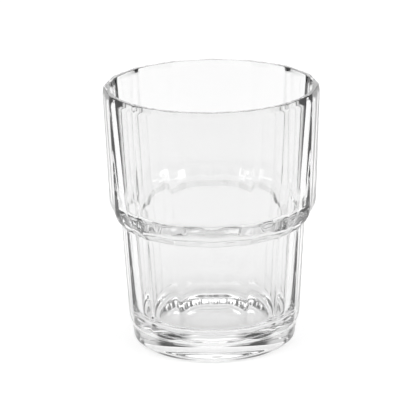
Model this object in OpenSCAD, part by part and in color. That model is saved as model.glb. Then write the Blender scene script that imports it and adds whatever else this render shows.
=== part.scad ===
// Stacking cortado glass: one piece of clear pressed glass, with no joint and no second piece.
// A wide upper wall steps in at a shoulder to a narrower lower wall, so that one glass nests in the next.
// Both walls are cut into flats outside, are round inside, and stand on a plain round foot.
// Millimetres, +Z up, origin on the table under the middle of the glass.

/* [Outside] */
// Height from the table to the rim
height = 90; // [80:1:110]
// Radius of the edges between the flats, at the rim
rim_r = 36.7; // [34:0.1:42]
// How much that radius narrows from the rim down to the shoulder
upper_taper = 1.4; // [0.5:0.1:3]
// How far the shoulder stands out past the lower wall
shoulder_step = 3.8; // [2.5:0.1:5]
// How much the lower wall narrows from the shoulder down to the heel
lower_taper = 1.9; // [0.5:0.1:3]
// Height of the top of the lower wall, where the shoulder starts
waist_z = 42.6; // [36:0.1:48]
// Rise of the shoulder's sloping underside
shoulder_rise = 4.4; // [3:0.1:7]
// Rounding of the shoulder's outer edge
shoulder_round = 7.5; // [3:0.1:9]
// Rounding of the inward corner under the shoulder
waist_round = 1.2; // [0.5:0.1:2]

/* [Flats] */
// Number of flats round the glass
flat_count = 16; // [10:1:20]
// Width of the soft edge between two flats, at the rim
edge_w = 0.8; // [0.4:0.1:1.5]

/* [Foot] */
// Height of the plain round foot
foot_h = 6.9; // [4:0.1:9]
// How far the foot sits in from the edges of the lower wall
foot_step = 0.9; // [0.6:0.1:1.5]
// How much the foot narrows down to the table
foot_taper = 0.8; // [0.2:0.1:1.5]
// Rise of the slope between the foot and the lower wall
heel_rise = 1.7; // [1:0.1:3]
// Rounding of the lower wall's end
heel_round = 2.4; // [1:0.1:4]
// Rounding of the foot at the table
foot_round = 2.6; // [0.8:0.1:3.5]
// Radius of the hollow under the base
hollow_r = 24; // [16:0.5:25]
// Depth of that hollow in the middle
hollow_depth = 1.8; // [0.8:0.1:2.5]

/* [Inside] */
// Wall in the middle of a flat, at the rim
rim_wall = 2; // [1.8:0.1:3]
// Wall in the middle of a flat, above the shoulder
shoulder_wall = 4.2; // [2.5:0.1:5]
// Wall in the middle of a flat, below the shoulder
waist_wall = 3.2; // [2:0.1:4]
// Wall in the middle of a flat, at the heel
heel_wall = 4.4; // [2.5:0.1:5]
// Thickness of the base, from the table to the inside floor
base_t = 8.5; // [6:0.1:12]
// How far the inside step sits above the outside one
step_lift = 3.5; // [1:0.1:5]
// Height of the lip, the part of the wall that draws in to the rim
lip_h = 2.2; // [1.5:0.1:4]
// How far the lip draws in, inside and outside
lip_draw = 0.35; // [0.2:0.05:0.5]
// Rounding where the lip starts
lip_bend = 6; // [2:0.5:8]
// Rounding of the rim, inside and outside
lip_round = 0.15; // [0.1:0.05:0.4]
// Rounding of the inside step's inward corner
ledge_round = 3; // [1:0.1:4]
// Rounding of the inside step's outward corner
ledge_edge_round = 3; // [1:0.1:4]
// Rounding between the lower wall and the floor inside
floor_round = 6; // [3:0.5:9]

/* [Hidden] */
$fn = 128;
// Overrun of every cut past the surface it opens
overrun = 4;
// Overlap where an arc crosses the side that it rounds
meet = 0.001;
// Most of a side that one rounding may take up
side_share = 0.96;
// How far a trimming wedge reaches, from the middle of its arc
wedge_share = 1.5;

// Half the angle of one flat, less its half of the soft edge
flat_half_angle = 180 / flat_count - edge_w / rim_r * 90 / PI;
// Distance of a flat from the axis, as a share of the radius of its edges
flat_share = cos(flat_half_angle);

// Radii of the edges, from the shoulder down to the table
shoulder_r = rim_r - upper_taper;
waist_r = shoulder_r - shoulder_step;
heel_r = waist_r - lower_taper;
foot_r = heel_r - foot_step;
base_r = foot_r - foot_taper;
// Heights of the corners outside
shoulder_z = waist_z + shoulder_rise;
heel_z = foot_h + heel_rise;

// Radii inside, each a wall in from the flats
mouth_r = rim_r * flat_share - rim_wall;
chamber_r = shoulder_r * flat_share - shoulder_wall;
well_r = waist_r * flat_share - waist_wall;
floor_r = heel_r * flat_share - heel_wall;
// Radii of the lip at the rim, on a flat and inside
lip_flat_r = rim_r * flat_share - lip_draw;
lip_inside_r = mouth_r + lip_draw;

// Radius of the ball that leaves the hollow under the base
hollow_ball_r = (hollow_r * hollow_r + hollow_depth * hollow_depth) / (2 * hollow_depth);

// Corners of the outside, as radius and height, and the rounding of each
outside = [
    [0, 0],
    [base_r, 0],
    [foot_r, foot_h],
    [heel_r, heel_z],
    [waist_r, waist_z],
    [shoulder_r, shoulder_z],
    [rim_r, height - lip_h],
    [rim_r - lip_draw, height],
    [0, height],
];
outside_rounds = [0, foot_round, 0, heel_round, waist_round, shoulder_round, lip_bend, lip_round, 0];

// Corners of what one flat takes off: all that lies outside it, from the table to past the rim
flat_cut = [
    [rim_r + overrun, -overrun],
    [rim_r + overrun, height + overrun],
    [lip_flat_r - 2 * lip_round, height + overrun],
    [lip_flat_r - 2 * lip_round, height + meet],
    [lip_flat_r, height + meet],
    [rim_r * flat_share, height - lip_h],
    [shoulder_r * flat_share, shoulder_z],
    [waist_r * flat_share, waist_z],
    [heel_r * flat_share, heel_z],
    [heel_r * flat_share, -overrun],
];
flat_rounds = [0, 0, 0, 0, lip_round, lip_bend, shoulder_round, waist_round, 0, 0];

// Corners of the inside: floor, lower wall, step, upper wall and the rounded lip
inside = [
    [0, base_t],
    [floor_r, base_t],
    [well_r, waist_z + step_lift],
    [chamber_r, shoulder_z + step_lift],
    [mouth_r, height - lip_h],
    [lip_inside_r, height + meet],
    [lip_inside_r + 2 * lip_round, height + meet],
    [lip_inside_r + 2 * lip_round, height + overrun],
    [0, height + overrun],
];
inside_rounds = [0, floor_round, ledge_edge_round, ledge_round, lip_bend, lip_round, 0, 0, 0];

function unit(v) = v / norm(v);
function turn(u, v) = u[0] * v[1] - u[1] * v[0];
// Half the angle at corner p between its neighbours a and b
function half_angle(a, p, b) = acos(unit(a - p) * unit(b - p)) / 2;
// Distance from corner p to where its rounding leaves either side, within what the sides hold
function reach(a, p, b, r) =
    min(r / tan(half_angle(a, p, b)), side_share * min(norm(a - p), norm(b - p)));

// All that lies past the rounding of corner p, as seen from the middle of its arc
module past_rounding(a, p, b, r) {
    touch_a = unit(a - p) * reach(a, p, b, r);
    touch_b = unit(b - p) * reach(a, p, b, r);
    middle = unit(touch_a + touch_b) * norm(touch_a) / cos(half_angle(a, p, b));
    translate(p + middle)
        difference() {
            polygon([[0, 0], (touch_a - middle) * wedge_share, -middle * wedge_share, (touch_b - middle) * wedge_share]);
            circle(r = norm(touch_a - middle) + meet);
        }
}

// What lies past the corners that turn one way: 1 for those that turn left along the outline, -1 for right
module past_corners(points, rounds, way) {
    n = len(points);
    for (i = [0 : n - 1]) {
        a = points[(i + n - way) % n];
        b = points[(i + n + way) % n];
        if (rounds[i] > 0 && turn(points[i] - a, b - points[i]) > 0)
            past_rounding(a, points[i], b, rounds[i]);
    }
}

// An outline that runs anticlockwise, with true arcs at its corners
module rounded_outline(points, rounds) {
    difference() {
        union() {
            polygon(points);
            past_corners(points, rounds, -1);
        }
        past_corners(points, rounds, 1);
    }
}

// What all the flats take off the turned blank
module flats() {
    for (i = [0 : flat_count - 1])
        rotate([0, 0, (i + 1 / 2) * 360 / flat_count])
            rotate([90, 0, 0])
                linear_extrude(height = 2 * rim_r * tan(180 / flat_count), center = true)
                    rounded_outline(flat_cut, flat_rounds);
}

// The whole glass: a turned blank, cut into flats outside and hollowed inside and under the base
module tumbler() {
    color([0.93, 0.96, 0.96, 0.4])
        difference() {
            rotate_extrude() rounded_outline(outside, outside_rounds);
            flats();
            rotate_extrude() rounded_outline(inside, inside_rounds);
            translate([0, 0, hollow_depth - hollow_ball_r]) sphere(r = hollow_ball_r);
        }
}

tumbler();
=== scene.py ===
"""Clear pressed stacking glass for a short milk coffee, on a white light table in a small studio.

The glass is one piece. Geometry Nodes turn its outline about the axis and press sixteen flats into its outer
walls. Sizes are in millimetres until they become meshes, which are in metres.
"""
import logging
import math
from dataclasses import dataclass, field
from enum import Enum
from typing import Any

import bpy
from mathutils import Matrix, Quaternion, Vector


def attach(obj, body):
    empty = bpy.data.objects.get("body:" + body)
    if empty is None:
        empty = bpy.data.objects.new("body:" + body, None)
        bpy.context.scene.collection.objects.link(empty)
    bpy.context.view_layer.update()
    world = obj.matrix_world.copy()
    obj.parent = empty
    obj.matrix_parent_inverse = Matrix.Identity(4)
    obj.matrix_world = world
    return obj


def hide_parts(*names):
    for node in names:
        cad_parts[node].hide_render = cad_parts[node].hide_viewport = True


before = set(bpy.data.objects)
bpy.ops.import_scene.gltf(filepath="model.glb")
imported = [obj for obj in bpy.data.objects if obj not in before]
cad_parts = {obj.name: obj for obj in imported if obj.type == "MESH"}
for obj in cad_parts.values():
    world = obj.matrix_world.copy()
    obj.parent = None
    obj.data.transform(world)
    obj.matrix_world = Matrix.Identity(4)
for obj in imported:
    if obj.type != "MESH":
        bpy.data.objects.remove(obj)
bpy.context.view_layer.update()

LOG = logging.getLogger("tumbler_scene")
MM = 0.001
FULL_TURN = 2 * math.pi
WHITE = "#FFFFFF"
BYTE_MAX = 255
SRGB_KNEE = 0.04045
SRGB_SLOPE = 12.92
SRGB_OFFSET = 0.055
SRGB_POWER = 2.4
# An arc takes at most this share of the shorter side beside it
MOST_OF_SIDE = 0.96

# What feeds a node: in order, or by name or place
Inputs = dict[str | int, Any] | tuple[Any, ...]


class Hand(Enum):
    """Side of the glass as the camera sees it."""

    LEFT = -1
    RIGHT = 1


def linear(hex_colour: str) -> tuple[float, float, float, float]:
    """Turn an sRGB colour into linear light.

    Args:
        hex_colour: Colour as a hash sign and six hex digits.

    Returns:
        Linear red, green and blue, and an alpha of 1.
    """
    def channel(start: int) -> float:
        """Read one pair of digits and make it linear.

        Args:
            start: Place of the first digit.

        Returns:
            Linear light from 0 to 1.
        """
        value = int(hex_colour[start:start + 2], 16) / BYTE_MAX
        curved = ((value + SRGB_OFFSET) / (1 + SRGB_OFFSET)) ** SRGB_POWER
        return value / SRGB_SLOPE if value <= SRGB_KNEE else curved

    return channel(1), channel(3), channel(5), 1.0


def add_node(tree: bpy.types.NodeTree, kind: str, inputs: Inputs = (), **settings: Any) -> bpy.types.Node:
    """Add a node with its settings and links.

    Args:
        tree: Node tree that takes the node.
        kind: Blender's name for the type of node.
        inputs: What goes in, in order, or by name or place. Each is a plain value, the output that feeds
            it, or a node whose first output feeds it.
        settings: Values of the node's own properties.

    Returns:
        The new node.
    """
    node = tree.nodes.new(kind)
    for name, value in settings.items():
        setattr(node, name, value)
    feeds = inputs.items() if isinstance(inputs, dict) else enumerate(inputs)
    for key, value in feeds:
        source = value.outputs[0] if isinstance(value, bpy.types.Node) else value
        if isinstance(source, bpy.types.NodeSocket):
            tree.links.new(source, node.inputs[key])
        else:
            node.inputs[key].default_value = source
    return node


def bare_tree(owner: bpy.types.Material | bpy.types.World) -> bpy.types.NodeTree:
    """Give a material or the world an empty node tree.

    Args:
        owner: What the tree belongs to.

    Returns:
        The tree, with no nodes in it.
    """
    owner.use_nodes = True
    owner.node_tree.nodes.clear()
    return owner.node_tree


def mesh_object(
    name: str,
    points: list[tuple[float, float, float]],
    edges: list[tuple[int, int]],
    faces: list[tuple[int, ...]],
) -> bpy.types.Object:
    """Make an object at the origin, with its place in its mesh.

    Args:
        name: Name of the object and its mesh.
        points: Vertices in metres.
        edges: Pairs of vertices that are joined with no face.
        faces: Loops of vertices.

    Returns:
        The object, linked to the scene.
    """
    mesh = bpy.data.meshes.new(name)
    mesh.from_pydata(points, edges, faces)
    mesh.update()
    thing = bpy.data.objects.new(name, mesh)
    bpy.context.scene.collection.objects.link(thing)
    return thing


@dataclass(frozen=True)
class Waves:
    """Waves in the skin of the glass, in millimetres."""

    width: float
    depth: float
    # Octaves of finer waves that ride on them
    detail: float = 0.0
    # Scale of heights in the pattern: less than 1 draws the waves out upright
    rise_share: float = 1.0


@dataclass(frozen=True)
class PressedGlass:
    """Clear soda-lime glass, pressed in an iron mould and fire-polished."""

    # Almost colourless: thick glass looks a little grey against white, which four passes of this tint give
    colour: str = "#F0F0F0"
    ior: float = 1.52
    roughness: float = 0.0
    # Long waves, where the glass chilled against the mould as it sank: the lines in the walls waver
    chill: Waves = Waves(width=22.0, depth=0.06)
    # The mould's skin, softened by the flame: highlights shimmer
    ripple: Waves = Waves(width=7.0, depth=0.02, detail=1.0)
    # Short upright waves on the inside ledge, where the plunger chilled the glass: highlights break up
    ledge: Waves = Waves(width=5.0, depth=0.35, rise_share=0.3)
    # Where the ledge's waves are whole and where they are gone, up or down from the ledge
    ledge_whole: float = 3.0
    ledge_gone: float = 8.0
    # The same, outwards from the wall that stands on the ledge, so that the outside stays smooth
    wall_whole: float = 0.5
    wall_gone: float = 1.5

    def ledge_mask(
        self, tree: bpy.types.NodeTree, place: bpy.types.NodeSocket, ledge_z: float, ledge_r: float
    ) -> bpy.types.Node:
        """Single out the ledge inside the glass.

        Args:
            tree: The material's tree.
            place: Object coordinates.
            ledge_z: Height of the ledge, in millimetres.
            ledge_r: Radius of the wall that stands on it, in millimetres.

        Returns:
            A node that gives 1 on the ledge and 0 away from it.
        """
        height = add_node(tree, "ShaderNodeSeparateXYZ", (place,)).outputs["Z"]
        above = add_node(tree, "ShaderNodeMath", (height, ledge_z * MM), operation="SUBTRACT")
        off = add_node(tree, "ShaderNodeMath", (above,), operation="ABSOLUTE")
        beside = add_node(
            tree,
            "ShaderNodeMapRange",
            (off, self.ledge_whole * MM, self.ledge_gone * MM, 1.0, 0.0),
            interpolation_type="SMOOTHSTEP",
        )
        level = add_node(tree, "ShaderNodeMapping", {"Vector": place, "Scale": (1.0, 1.0, 0.0)})
        radius = add_node(tree, "ShaderNodeVectorMath", (level,), operation="LENGTH").outputs["Value"]
        within = add_node(
            tree,
            "ShaderNodeMapRange",
            (radius, (ledge_r + self.wall_whole) * MM, (ledge_r + self.wall_gone) * MM, 1.0, 0.0),
        )
        return add_node(tree, "ShaderNodeMath", (beside, within), operation="MULTIPLY")

    def material(self, ledge_z: float, ledge_r: float) -> bpy.types.Material:
        """Build the material.

        Args:
            ledge_z: Height of the ledge inside the glass, in millimetres.
            ledge_r: Radius of the wall that stands on it, in millimetres.

        Returns:
            A clear material whose highlights and refractions waver a little.
        """
        glass = bpy.data.materials.new("pressed_soda_lime_glass")
        tree = bare_tree(glass)
        place = add_node(tree, "ShaderNodeTexCoord").outputs["Object"]
        everywhere = 1.0
        on_ledge = self.ledge_mask(tree, place, ledge_z, ledge_r)
        normal: bpy.types.Node | None = None
        for waves, where in ((self.chill, everywhere), (self.ripple, everywhere), (self.ledge, on_ledge)):
            scale = (1.0, 1.0, waves.rise_share)
            drawn = add_node(tree, "ShaderNodeMapping", {"Vector": place, "Scale": scale})
            noise = add_node(
                tree,
                "ShaderNodeTexNoise",
                {"Vector": drawn, "Scale": 1 / (waves.width * MM), "Detail": waves.detail},
            )
            height = add_node(tree, "ShaderNodeMath", (noise, where), operation="MULTIPLY")
            inputs = {"Height": height, "Distance": waves.depth * MM, "Strength": 1.0}
            if normal is not None:
                inputs["Normal"] = normal
            normal = add_node(tree, "ShaderNodeBump", inputs)
        shader = add_node(
            tree,
            "ShaderNodeBsdfPrincipled",
            {
                "Base Color": linear(self.colour),
                "Transmission Weight": 1.0,
                "IOR": self.ior,
                "Roughness": self.roughness,
                "Normal": normal,
            },
        )
        add_node(tree, "ShaderNodeOutputMaterial", {"Surface": shader})
        return glass


@dataclass(frozen=True)
class LitAcrylic:
    """White acrylic sheet, lit from below, that still takes a faint shadow, with a painted pool of light
    under the glass.
    """

    # Grey of the sheet itself: it gives back what falls on it, less the shadow of the glass
    colour: str = "#CECECE"
    # Light from below
    glow: float = 0.38
    # More of it, seen straight or by way of the glass only, so that the table runs out to white
    near_lift: float = 0.2
    far_lift: float = 0.4
    # Where the far lift starts and is full, in millimetres from the glass
    far_from: float = 300.0
    far_full: float = 1500.0
    # Painted light: a brighter pool on the table under the base of the glass, standing in for the light that
    # the glass would focus there, and how far from its axis it is whole and gone
    painted_pool_lift: float = 0.1
    painted_pool_whole: float = 8.0
    painted_pool_gone: float = 27.0

    def material(self) -> bpy.types.Material:
        """Build the material.

        Returns:
            A matt white that shines by itself.
        """
        acrylic = bpy.data.materials.new("lit_white_acrylic")
        tree = bare_tree(acrylic)
        matt = add_node(tree, "ShaderNodeBsdfDiffuse", {"Color": linear(self.colour)})
        place = add_node(tree, "ShaderNodeTexCoord").outputs["Object"]
        away = add_node(tree, "ShaderNodeVectorMath", (place,), operation="LENGTH").outputs["Value"]
        outer = add_node(
            tree,
            "ShaderNodeMapRange",
            (away, self.far_from * MM, self.far_full * MM, self.near_lift, self.far_lift),
        )
        # Painted pool of light under the base of the glass, seen only through the glass
        under = add_node(
            tree,
            "ShaderNodeMapRange",
            (away, self.painted_pool_whole * MM, self.painted_pool_gone * MM, self.painted_pool_lift, 0.0),
        )
        # The lift, with the painted pool of light under the glass added to it
        lift = add_node(tree, "ShaderNodeMath", (outer, under), operation="ADD")
        path = add_node(tree, "ShaderNodeLightPath").outputs
        seen = path["Is Camera Ray"]
        for kind in ("Is Glossy Ray", "Is Transmission Ray"):
            seen = add_node(tree, "ShaderNodeMath", (seen, path[kind]), operation="MAXIMUM")
        strength = add_node(tree, "ShaderNodeMath", (seen, lift, self.glow), operation="MULTIPLY_ADD")
        light = add_node(tree, "ShaderNodeEmission", {"Color": linear(WHITE), "Strength": strength})
        both = add_node(tree, "ShaderNodeAddShader", (matt, light))
        add_node(tree, "ShaderNodeOutputMaterial", {"Surface": both})
        return acrylic


@dataclass(frozen=True)
class Corner:
    """Corner of the outline before it is rounded, in millimetres."""

    radius: float
    height: float
    rounding: float = 0.0

    @property
    def place(self) -> Vector:
        """Radius and height as a vector."""
        return Vector((self.radius, self.height))


def rounded_line(corners: list[Corner], arc_steps: int, run_steps: int) -> list[Vector]:
    """Follow straight runs between corners, with an arc at each rounded one.

    Args:
        corners: Corners in order, the first and last of them plain ends.
        arc_steps: Steps along each arc.
        run_steps: Steps along each straight run.

    Returns:
        Points as radius and height.
    """
    points = [corners[0].place]

    def run_to(goal: Vector) -> None:
        """Step straight on to a point."""
        start = points[-1].copy()
        points.extend(start.lerp(goal, step / run_steps) for step in range(1, run_steps + 1))

    for before, here, after in zip(corners, corners[1:], corners[2:]):
        back = before.place - here.place
        ahead = after.place - here.place
        half = back.angle(ahead) / 2
        reach = min(here.rounding / math.tan(half), MOST_OF_SIDE * min(back.length, ahead.length))
        if reach <= 0:
            run_to(here.place)
            continue
        first = here.place + back.normalized() * reach
        last = here.place + ahead.normalized() * reach
        inwards = (back.normalized() + ahead.normalized()).normalized()
        middle = here.place + inwards * reach / math.cos(half)
        run_to(first)
        sweep = (first - middle).angle_signed(last - middle)
        for step in range(1, arc_steps + 1):
            spoke = first - middle
            spoke.rotate(Matrix.Rotation(-sweep * step / arc_steps, 2))
            points.append(middle + spoke)
    run_to(corners[-1].place)
    return points


class PressedLathe:
    """Geometry Nodes that turn an outline about the axis and press flats into it.

    The outline is a wire in the plane of X and Z. Each of its points holds, as flat_radius, how far the
    flats lie from the axis at its height.
    """

    def __init__(self) -> None:
        """Make the tree, with its named inputs and output."""
        self.tree = bpy.data.node_groups.new("pressed_lathe", "GeometryNodeTree")
        for name, kind in (
            ("Outline", "NodeSocketGeometry"),
            ("Flats", "NodeSocketInt"),
            ("Steps per Flat", "NodeSocketInt"),
            ("Edge Crowding", "NodeSocketFloat"),
            ("Soft Edge", "NodeSocketFloat"),
            ("Seam", "NodeSocketFloat"),
            ("Glass", "NodeSocketMaterial"),
        ):
            self.tree.interface.new_socket(name, in_out="INPUT", socket_type=kind)
        self.tree.interface.new_socket("Tumbler", in_out="OUTPUT", socket_type="NodeSocketGeometry")
        self.given = add_node(self.tree, "NodeGroupInput").outputs

    def sheet(self) -> tuple[bpy.types.Node, bpy.types.Node, bpy.types.Node]:
        """Lay out a sheet with a row for each point of the outline and a column for each step round.

        Returns:
            The sheet, and the row and column of each of its points.
        """
        tree, given = self.tree, self.given
        count = add_node(
            tree, "GeometryNodeAttributeDomainSize", {"Geometry": given["Outline"]}, component="MESH"
        )
        rows = count.outputs["Point Count"]
        steps = add_node(
            tree, "FunctionNodeIntegerMath", (given["Flats"], given["Steps per Flat"]), operation="MULTIPLY"
        )
        # The last column meets the first
        columns = add_node(tree, "FunctionNodeIntegerMath", (steps, 1), operation="ADD")
        sheet = add_node(tree, "GeometryNodeMeshGrid", {"Vertices X": columns, "Vertices Y": rows})
        index = add_node(tree, "GeometryNodeInputIndex")
        row = add_node(tree, "FunctionNodeIntegerMath", (index, rows), operation="MODULO")
        column = add_node(tree, "FunctionNodeIntegerMath", (index, rows), operation="DIVIDE_FLOOR")
        return sheet, row, column

    def outline_at(
        self, row: bpy.types.Node
    ) -> tuple[bpy.types.NodeSocket, bpy.types.NodeSocket, bpy.types.Node]:
        """Look a row up in the outline.

        Args:
            row: Row of the sheet.

        Returns:
            Its radius and height, and how far the flats lie from the axis there.
        """
        tree, outline = self.tree, self.given["Outline"]
        position = add_node(tree, "GeometryNodeInputPosition")
        spot = add_node(
            tree,
            "GeometryNodeSampleIndex",
            {"Geometry": outline, "Value": position, "Index": row},
            data_type="FLOAT_VECTOR",
        )
        parts = add_node(tree, "ShaderNodeSeparateXYZ", (spot,)).outputs
        named = add_node(tree, "GeometryNodeInputNamedAttribute", {"Name": "flat_radius"}, data_type="FLOAT")
        flat = add_node(
            tree,
            "GeometryNodeSampleIndex",
            {"Geometry": outline, "Value": named.outputs["Attribute"], "Index": row},
            data_type="FLOAT",
        )
        return parts["X"], parts["Z"], flat

    def angles(self, column: bpy.types.Node) -> tuple[bpy.types.Node, bpy.types.Node]:
        """Give a column its angle, with the steps crowded towards the edges between the flats.

        Args:
            column: Column of the sheet.

        Returns:
            Its angle round the axis, and its angle from the middle of its flat.
        """
        tree, given = self.tree, self.given
        middle_share = 0.5
        share = add_node(tree, "ShaderNodeMath", (column, given["Steps per Flat"]), operation="DIVIDE")
        passed = add_node(tree, "ShaderNodeMath", (share,), operation="FLOOR")
        part = add_node(tree, "ShaderNodeMath", (share,), operation="FRACT")
        round_part = add_node(tree, "ShaderNodeMath", (part, FULL_TURN), operation="MULTIPLY")
        swing = add_node(tree, "ShaderNodeMath", (round_part,), operation="SINE")
        pull = add_node(tree, "ShaderNodeMath", (given["Edge Crowding"], FULL_TURN), operation="DIVIDE")
        shift = add_node(tree, "ShaderNodeMath", (swing, pull), operation="MULTIPLY")
        crowded = add_node(tree, "ShaderNodeMath", (part, shift), operation="SUBTRACT")
        flat_angle = add_node(tree, "ShaderNodeMath", (FULL_TURN, given["Flats"]), operation="DIVIDE")
        flats_round = add_node(tree, "ShaderNodeMath", (passed, crowded), operation="ADD")
        angle = add_node(tree, "ShaderNodeMath", (flats_round, flat_angle), operation="MULTIPLY")
        aside = add_node(tree, "ShaderNodeMath", (crowded, middle_share), operation="SUBTRACT")
        off_middle = add_node(tree, "ShaderNodeMath", (aside, flat_angle), operation="MULTIPLY")
        return angle, off_middle

    def build(self) -> bpy.types.NodeTree:
        """Turn the sheet about the axis, press it and dress it.

        Returns:
            The finished tree.
        """
        tree, given = self.tree, self.given
        sheet, row, column = self.sheet()
        round_r, height, flat = self.outline_at(row)
        angle, off_middle = self.angles(column)

        # The lesser of the turned radius and the flat, with a soft edge between them
        lean = add_node(tree, "ShaderNodeMath", (off_middle,), operation="COSINE")
        pressed_r = add_node(tree, "ShaderNodeMath", (flat, lean), operation="DIVIDE")
        soft = given["Soft Edge"]
        radius = add_node(tree, "ShaderNodeMath", (round_r, pressed_r, soft), operation="SMOOTH_MIN")

        across = add_node(tree, "ShaderNodeMath", (angle,), operation="COSINE")
        along = add_node(tree, "ShaderNodeMath", (angle,), operation="SINE")
        x = add_node(tree, "ShaderNodeMath", (radius, across), operation="MULTIPLY")
        y = add_node(tree, "ShaderNodeMath", (radius, along), operation="MULTIPLY")
        place = add_node(tree, "ShaderNodeCombineXYZ", (x, y, height))
        turned = add_node(tree, "GeometryNodeSetPosition", {"Geometry": sheet, "Position": place})
        seam = given["Seam"]
        closed = add_node(tree, "GeometryNodeMergeByDistance", {"Geometry": turned, "Distance": seam})
        smooth = add_node(tree, "GeometryNodeSetShadeSmooth", {"Geometry": closed})
        real = add_node(tree, "GeometryNodeRealizeInstances", {"Geometry": smooth})
        dressed = add_node(tree, "GeometryNodeSetMaterial", {"Geometry": real, "Material": given["Glass"]})
        add_node(tree, "NodeGroupOutput", {"Tumbler": dressed})
        return tree


@dataclass
class Tumbler:
    """The glass itself: faceted walls that step in at a shoulder, round inside, on a round foot."""

    # Outside, with radii at the edges between the flats
    height: float = 90.0
    rim_r: float = 36.7
    upper_taper: float = 1.4
    shoulder_step: float = 3.8
    lower_taper: float = 1.9
    waist_z: float = 42.6
    shoulder_rise: float = 4.4
    shoulder_round: float = 7.5
    waist_round: float = 1.2
    # Flats, and the edges left between them
    flat_count: int = 16
    edge_w: float = 0.8
    soft_edge: float = 0.15
    # Foot, and the hollow under it
    foot_h: float = 6.9
    foot_step: float = 0.9
    foot_taper: float = 0.8
    heel_rise: float = 1.7
    heel_round: float = 2.4
    foot_round: float = 2.6
    hollow_r: float = 24.0
    hollow_depth: float = 1.8
    # Inside: walls behind the flats, base, and how much higher the ledge is than the shoulder
    rim_wall: float = 2.0
    shoulder_wall: float = 4.2
    waist_wall: float = 3.2
    heel_wall: float = 4.4
    base_t: float = 8.5
    step_lift: float = 3.5
    ledge_round: float = 3.0
    ledge_edge_round: float = 3.0
    floor_round: float = 6.0
    # Lip, drawn in on both sides
    lip_h: float = 2.2
    lip_draw: float = 0.35
    lip_bend: float = 6.0
    lip_round: float = 0.15
    # Fineness of the mesh, and the gap that is merged where it closes
    arc_steps: int = 9
    run_steps: int = 9
    steps_per_flat: int = 26
    edge_crowding: float = 0.8
    seam: float = 0.001
    # Worked out from the sizes above
    flat_share: float = field(init=False)
    shoulder_r: float = field(init=False)
    waist_r: float = field(init=False)
    heel_r: float = field(init=False)
    foot_r: float = field(init=False)
    base_r: float = field(init=False)
    shoulder_z: float = field(init=False)
    heel_z: float = field(init=False)
    lip_z: float = field(init=False)
    ledge_z: float = field(init=False)
    mouth_r: float = field(init=False)
    chamber_r: float = field(init=False)
    well_r: float = field(init=False)
    floor_r: float = field(init=False)

    def __post_init__(self) -> None:
        """Work out the radii and heights that follow from the sizes."""
        half_flat = math.pi / self.flat_count - self.edge_w / self.rim_r / 2
        self.flat_share = math.cos(half_flat)
        self.shoulder_r = self.rim_r - self.upper_taper
        self.waist_r = self.shoulder_r - self.shoulder_step
        self.heel_r = self.waist_r - self.lower_taper
        self.foot_r = self.heel_r - self.foot_step
        self.base_r = self.foot_r - self.foot_taper
        self.shoulder_z = self.waist_z + self.shoulder_rise
        self.heel_z = self.foot_h + self.heel_rise
        self.lip_z = self.height - self.lip_h
        self.ledge_z = self.shoulder_z + self.step_lift
        self.mouth_r = self.rim_r * self.flat_share - self.rim_wall
        self.chamber_r = self.shoulder_r * self.flat_share - self.shoulder_wall
        self.well_r = self.waist_r * self.flat_share - self.waist_wall
        self.floor_r = self.heel_r * self.flat_share - self.heel_wall

    def hollow(self) -> list[Vector]:
        """Follow the arc of the hollow under the base.

        Returns:
            Points from the axis out to the standing ring.
        """
        ball_r = (self.hollow_r ** 2 + self.hollow_depth ** 2) / (2 * self.hollow_depth)
        opening = math.asin(self.hollow_r / ball_r)
        steps = 2 * self.arc_steps
        angles = [opening * step / steps for step in range(steps + 1)]
        drop = self.hollow_depth - ball_r
        return [Vector((ball_r * math.sin(angle), drop + ball_r * math.cos(angle))) for angle in angles]

    def outside(self) -> list[Vector]:
        """Follow the outside up.

        Returns:
            Points from the standing ring to the crest of the rim.
        """
        crest_r = self.rim_r - self.lip_draw
        corners = [
            Corner(self.hollow_r, 0),
            Corner(self.base_r, 0, self.foot_round),
            Corner(self.foot_r, self.foot_h),
            Corner(self.heel_r, self.heel_z, self.heel_round),
            Corner(self.waist_r, self.waist_z, self.waist_round),
            Corner(self.shoulder_r, self.shoulder_z, self.shoulder_round),
            Corner(self.rim_r, self.lip_z, self.lip_bend),
            Corner(crest_r, self.height, self.lip_round),
            Corner(crest_r - 2 * self.lip_round, self.height),
        ]
        # The last corner only turns the rounding before it, so the run to it is left off
        return rounded_line(corners, self.arc_steps, self.run_steps)[:-self.run_steps]

    def inside(self) -> list[Vector]:
        """Follow the inside down.

        Returns:
            Points from the crest of the rim to the middle of the floor.
        """
        crest_r = self.mouth_r + self.lip_draw
        corners = [
            Corner(crest_r + 2 * self.lip_round, self.height),
            Corner(crest_r, self.height, self.lip_round),
            Corner(self.mouth_r, self.lip_z, self.lip_bend),
            Corner(self.chamber_r, self.ledge_z, self.ledge_round),
            Corner(self.well_r, self.waist_z + self.step_lift, self.ledge_edge_round),
            Corner(self.floor_r, self.base_t, self.floor_round),
            Corner(0, self.base_t),
        ]
        # The first corner only turns the rounding after it, so the run from it is left off
        return rounded_line(corners, self.arc_steps, self.run_steps)[self.run_steps:]

    def flat_radius(self, point: Vector) -> float:
        """Tell how far a flat lies from the axis where it crosses a row.

        Args:
            point: Radius and height of a row of the outside.

        Returns:
            Distance of the flat, past the row's own radius where no flat reaches it.
        """
        if point.y < self.heel_z:
            return self.heel_r * self.flat_share
        # At the lip a flat draws in by as much as the edges beside it
        if point.y > self.lip_z - self.lip_h:
            return point.x - self.rim_r * (1 - self.flat_share)
        return point.x * self.flat_share

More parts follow.
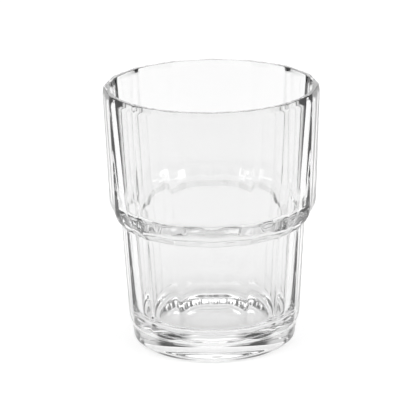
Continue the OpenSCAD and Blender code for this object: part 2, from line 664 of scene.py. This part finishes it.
    def outline_object(self) -> bpy.types.Object:
        """Make the outline that the tree turns.

        Returns:
            A wire whose points hold how far the flats lie from the axis.
        """
        hollow, outside, inside = self.hollow(), self.outside()[1:], self.inside()
        points = hollow + outside + inside
        no_flat = 2 * self.rim_r
        flats = [no_flat] * len(hollow)
        flats += [self.flat_radius(point) for point in outside]
        flats += [no_flat] * len(inside)
        wire = mesh_object(
            "pressed_tumbler",
            [(point.x * MM, 0.0, point.y * MM) for point in points],
            [(i, i + 1) for i in range(len(points) - 1)],
            [],
        )
        layer = wire.data.attributes.new("flat_radius", "FLOAT", "POINT")
        layer.data.foreach_set("value", [value * MM for value in flats])
        return wire

    def build(self, finish: PressedGlass) -> bpy.types.Object:
        """Turn the outline into the glass and put it in the frame.

        Args:
            finish: What the glass is made of.

        Returns:
            The finished piece.
        """
        glass = self.outline_object()
        lathe = glass.modifiers.new("lathe", "NODES")
        lathe.node_group = PressedLathe().build()
        values = {
            "Flats": self.flat_count,
            "Steps per Flat": self.steps_per_flat,
            "Edge Crowding": self.edge_crowding,
            "Soft Edge": self.soft_edge * MM,
            "Seam": self.seam * MM,
            "Glass": finish.material(self.ledge_z, self.chamber_r),
        }
        for item in lathe.node_group.interface.items_tree:
            if item.in_out == "INPUT" and item.name in values:
                lathe[item.identifier] = values[item.name]
        depsgraph = bpy.context.evaluated_depsgraph_get()
        solid = bpy.data.meshes.new_from_object(glass.evaluated_get(depsgraph))
        glass.modifiers.remove(lathe)
        glass.data = solid
        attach(glass, "root")
        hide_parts("tumbler")
        return glass


@dataclass
class Studio:
    """Light table, sky, lamps and camera round the glass."""

    # Light table, from its middle to an edge
    floor_half: float = 3000.0
    # Sky, white at the horizon and darker overhead, between two heights of a direction one long
    sky_low: float = 1.0
    sky_top: float = 0.48
    sky_low_z: float = 0.05
    sky_top_z: float = 0.8
    # A ring of panels in it, with dark gaps that the foot and the shoulder of the glass pick up as streaks
    panel_count: int = 8
    gap_dark: float = 0.95
    # Where a gap starts and is full, on a wave that is 1 in the middle of a panel and -1 in that of a gap
    gap_from: float = 0.3
    gap_full: float = -0.5
    # Below the first height the gaps are closed, so that the horizon stays white
    gap_low_z: float = 0.08
    gap_high_z: float = 0.16
    # Softboxes in front of the glass, high up to the left and right
    lamp_place: tuple[float, float, float] = (740.0, -350.0, 720.0)
    lamp_size: tuple[float, float] = (360.0, 400.0)
    lamp_power: float = 2.6
    # Softbox overhead
    top_z: float = 900.0
    top_size: tuple[float, float] = (900.0, 900.0)
    top_power: float = 3.8
    # Weak softbox behind, mirrored by the top of the rim and the floor of the glass
    back_place: tuple[float, float, float] = (0.0, 950.0, 345.0)
    back_size: tuple[float, float] = (700.0, 200.0)
    back_power: float = 0.3
    # Light that is caught in the walls ends after so many turns, which helps to draw the dark lines
    light_bounces: int = 9
    # Camera, fitted to the photograph: its frame in pixels, then its place in millimetres and degrees
    picture_px: float = 420.0
    focal_px: float = 2330.0
    centre_px: tuple[float, float] = (212.9, 211.7)
    distance: float = 800.0
    elevation: float = 17.9
    azimuth: float = 0.7
    roll: float = -0.85
    target_z: float = 45.0
    sensor: float = 36.0
    clip_start: float = 1.0

    def lay_floor(self, finish: LitAcrylic) -> None:
        """Lay the light table.

        Args:
            finish: What the table is made of.
        """
        half = self.floor_half * MM
        ring = [(-half, -half, 0.0), (half, -half, 0.0), (half, half, 0.0), (-half, half, 0.0)]
        floor = mesh_object("floor", ring, [], [(0, 1, 2, 3)])
        floor.data.materials.append(finish.material())

    def light_sky(self) -> None:
        """Make the world white at the horizon and darker overhead, with dark gaps between its panels."""
        world = bpy.data.worlds.new("studio")
        bpy.context.scene.world = world
        tree = bare_tree(world)
        aim = add_node(tree, "ShaderNodeTexCoord").outputs["Generated"]
        side, front, height = add_node(tree, "ShaderNodeSeparateXYZ", (aim,)).outputs
        shade = add_node(
            tree, "ShaderNodeMapRange", (height, self.sky_low_z, self.sky_top_z, self.sky_low, self.sky_top)
        )
        bearing = add_node(tree, "ShaderNodeMath", (side, front), operation="ARCTAN2")
        phase = add_node(tree, "ShaderNodeMath", (bearing, self.panel_count), operation="MULTIPLY")
        wave = add_node(tree, "ShaderNodeMath", (phase,), operation="COSINE")
        gap = add_node(tree, "ShaderNodeMapRange", (wave, self.gap_from, self.gap_full, 0.0, self.gap_dark))
        opened = add_node(tree, "ShaderNodeMapRange", (height, self.gap_low_z, self.gap_high_z, 0.0, 1.0))
        lost = add_node(tree, "ShaderNodeMath", (gap, opened), operation="MULTIPLY")
        kept = add_node(tree, "ShaderNodeMath", (1.0, lost), operation="SUBTRACT")
        strength = add_node(tree, "ShaderNodeMath", (shade, kept), operation="MULTIPLY")
        sky = add_node(tree, "ShaderNodeBackground", {"Color": linear(WHITE), "Strength": strength})
        add_node(tree, "ShaderNodeOutputWorld", {"Surface": sky})

    def hang_lamp(self, name: str, place: Vector, size: tuple[float, float], power: float) -> None:
        """Hang one softbox that faces the glass.

        Args:
            name: What to call it.
            place: Its middle, in millimetres.
            size: Its width and height, in millimetres.
            power: Its light, in watts.
        """
        lamp = bpy.data.lights.new(name, "AREA")
        lamp.shape = "RECTANGLE"
        lamp.size, lamp.size_y = size[0] * MM, size[1] * MM
        lamp.energy = power
        stand = bpy.data.objects.new(name, lamp)
        bpy.context.scene.collection.objects.link(stand)
        stand.location = place * MM
        aim = Vector((0, 0, self.target_z)) - place
        stand.rotation_euler = aim.to_track_quat("-Z", "Y").to_euler()

    def hang_lamps(self) -> None:
        """Hang a softbox in front on either side, one overhead and one behind."""
        x, y, z = self.lamp_place
        for hand in Hand:
            place = Vector((hand.value * x, y, z))
            self.hang_lamp(f"softbox_{hand.name.lower()}", place, self.lamp_size, self.lamp_power)
        self.hang_lamp("softbox_overhead", Vector((0, 0, self.top_z)), self.top_size, self.top_power)
        self.hang_lamp("softbox_back", Vector(self.back_place), self.back_size, self.back_power)

    def set_camera(self) -> None:
        """Place the camera where the photograph was taken from."""
        lens = bpy.data.cameras.new("camera")
        camera = bpy.data.objects.new("camera", lens)
        bpy.context.scene.collection.objects.link(camera)
        bpy.context.scene.camera = camera
        lens.sensor_width = self.sensor
        lens.lens = self.sensor * self.focal_px / self.picture_px
        lens.shift_x = (self.picture_px / 2 - self.centre_px[0]) / self.picture_px
        lens.shift_y = (self.centre_px[1] - self.picture_px / 2) / self.picture_px
        lens.clip_start = self.clip_start * MM
        up, aside = math.radians(self.elevation), math.radians(self.azimuth)
        back = Vector((math.sin(aside) * math.cos(up), -math.cos(aside) * math.cos(up), math.sin(up)))
        camera.location = (Vector((0, 0, self.target_z)) + back * self.distance) * MM
        camera.rotation_mode = "QUATERNION"
        level = (-back).to_track_quat("-Z", "Y")
        camera.rotation_quaternion = level @ Quaternion((0, 0, 1), math.radians(self.roll))

    def build(self, table: LitAcrylic) -> None:
        """Set the whole studio up.

        Args:
            table: What the table is made of.
        """
        self.set_camera()
        self.lay_floor(table)
        self.light_sky()
        self.hang_lamps()
        scene = bpy.context.scene
        scene.view_settings.view_transform = "Standard"
        scene.cycles.max_bounces = self.light_bounces
        scene.cycles.transmission_bounces = self.light_bounces
        scene.cycles.glossy_bounces = self.light_bounces


def main() -> None:
    """Build the glass and the studio, and log how many faces the glass has."""
    logging.basicConfig(level=logging.INFO, format="%(name)s: %(message)s")
    glass = Tumbler().build(PressedGlass())
    LOG.info("%s: %d faces", glass.name, len(glass.data.polygons))
    Studio().build(LitAcrylic())


if __name__ == "__main__":
    main()
